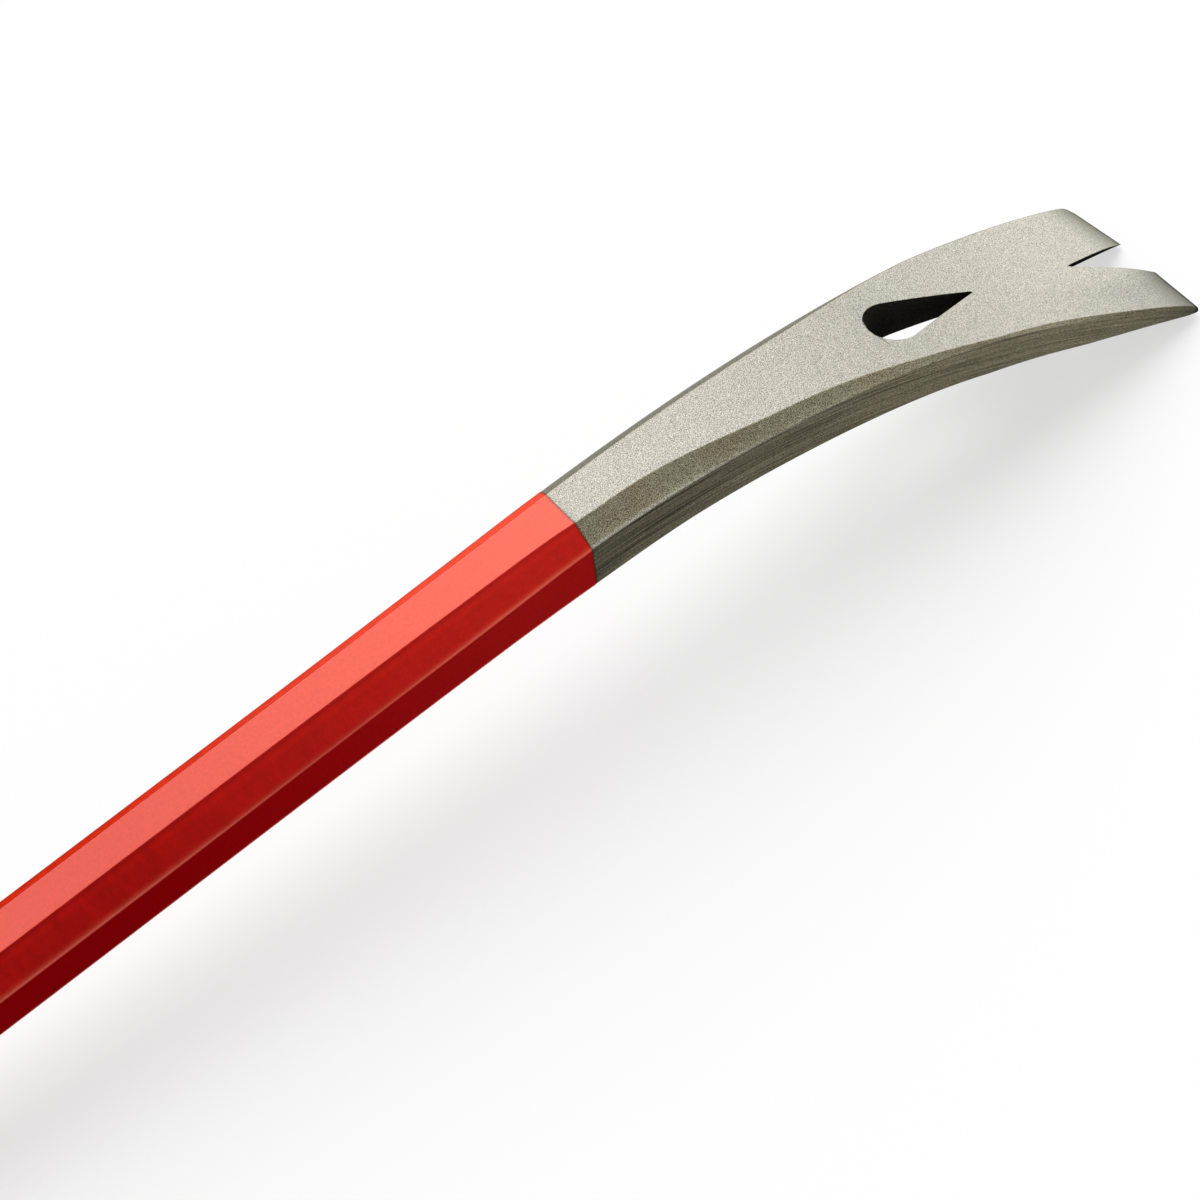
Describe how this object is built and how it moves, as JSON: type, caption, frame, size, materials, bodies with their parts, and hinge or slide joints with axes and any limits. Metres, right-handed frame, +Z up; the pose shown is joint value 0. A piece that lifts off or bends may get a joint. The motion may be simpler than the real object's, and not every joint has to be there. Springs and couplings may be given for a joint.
{
  "type": "crowbar",
  "caption": "Forged octagonal steel crowbar with a flared, notched claw and teardrop nail hole at one end, a gooseneck claw at the other, and a lacquered shank.",
  "frame": {"origin": "floor level, midway along the bar's whole length and on its middle plane, with the bar resting on its gooseneck heel and its claw edge", "axes": "+X along the bar from the gooseneck to the claw, +Y across it, +Z up"},
  "size_m": [0.6028, 0.045, 0.1066],
  "materials": {
    "blasted_steel": "blasted, with fine grain",
    "red_lacquer": "gloss lacquer"
  },
  "bodies": {
    "root": {"forged_bar": "blasted_steel", "lacquer_coat": "red_lacquer"}
  },
  "joints": []
}
